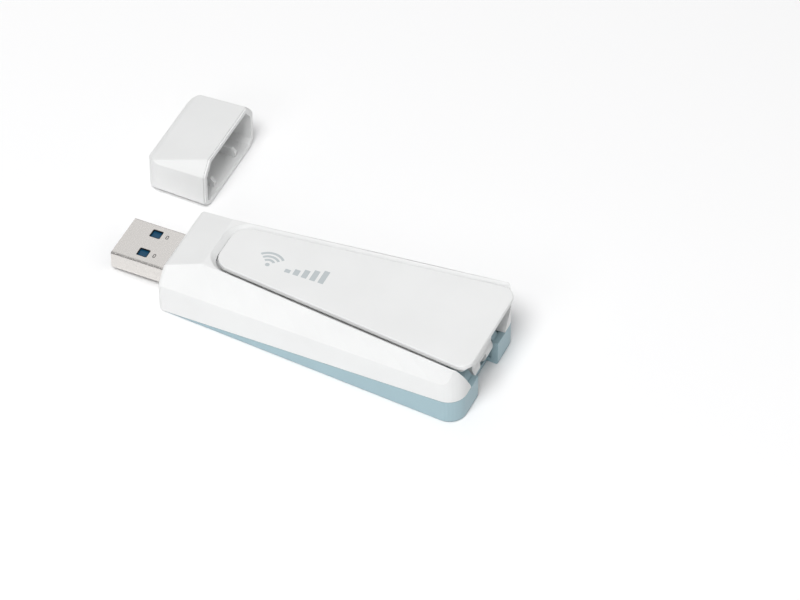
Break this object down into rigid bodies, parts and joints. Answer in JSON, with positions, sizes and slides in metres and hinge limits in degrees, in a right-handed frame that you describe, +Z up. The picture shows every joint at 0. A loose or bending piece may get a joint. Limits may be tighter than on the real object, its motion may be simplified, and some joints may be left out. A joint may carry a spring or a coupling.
{
  "type": "usb wifi adapter",
  "caption": "Tapered USB wifi adapter with a hinged antenna flap in its top, a slanted two-tone base, a type A plug and a loose protective cap.",
  "frame": {"origin": "on the flat underside of the base, on the centre line, 12 mm behind the front of the housing", "axes": "+X from the plug to the hinge, +Y to the side where the loose cap lies, +Z up out of the base"},
  "size_m": [0.0917, 0.0584, 0.0156],
  "materials": {
    "white_plastic": "satin, fine grain",
    "blue_plastic": "satin, fine grain",
    "nickel_plate": "fine matt nickel",
    "tongue_blue": "moulded",
    "gold_plate": "bright plated",
    "bright_steel": "bright",
    "board_green": "solder mask",
    "black_resin": "moulded",
    "cable_black": "smooth jacket",
    "thermal_pad": "soft",
    "print_grey": "printed ink",
    "label_paper": "blank matt label"
  },
  "bodies": {
    "housing": {"top_shell": "white_plastic", "base_shell": "blue_plastic", "rating_label": "label_paper", "usb_shell": "nickel_plate", "usb_tongue": "tongue_blue", "usb_contact_1": "gold_plate", "usb_contact_2": "gold_plate", "usb_contact_3": "gold_plate", "usb_contact_4": "gold_plate", "usb_contact_5": "gold_plate", "usb_contact_6": "gold_plate", "usb_contact_7": "gold_plate", "usb_contact_8": "gold_plate", "usb_contact_9": "gold_plate", "main_board": "board_green", "shield_can": "bright_steel", "wifi_chip": "black_resin", "thermal_pad": "thermal_pad", "flash_chip": "black_resin", "power_inductor": "black_resin", "crystal": "bright_steel", "detent_leaf": "bright_steel", "hinge_pin_left": "bright_steel", "hinge_pin_right": "bright_steel", "friction_washer_left": "bright_steel", "friction_washer_right": "bright_steel", "coax_socket_left": "gold_plate", "coax_socket_right": "gold_plate", "coax_plug_left": "gold_plate", "coax_plug_right": "gold_plate", "coax_body_left": "cable_black", "coax_body_right": "cable_black"},
    "flap": {"flap_outer_cover": "white_plastic", "flap_inner_cover": "white_plastic", "antenna_board": "board_green", "coax_flap_left": "cable_black", "coax_flap_right": "cable_black"},
    "cap": {"cap_shell": "white_plastic"}
  },
  "joints": [
    {"name": "antenna_hinge", "type": "hinge", "parent": "housing", "child": "flap", "pos_m": [0.05576, 0, 0.00523], "axis": [0, 1, 0], "range_deg": [0, 135]},
    {"name": "cap_slide", "type": "slide", "parent": "housing", "child": "cap", "axis": [-0.5571, -0.8304, 0], "range_m": [0, 0.03769]}
  ]
}
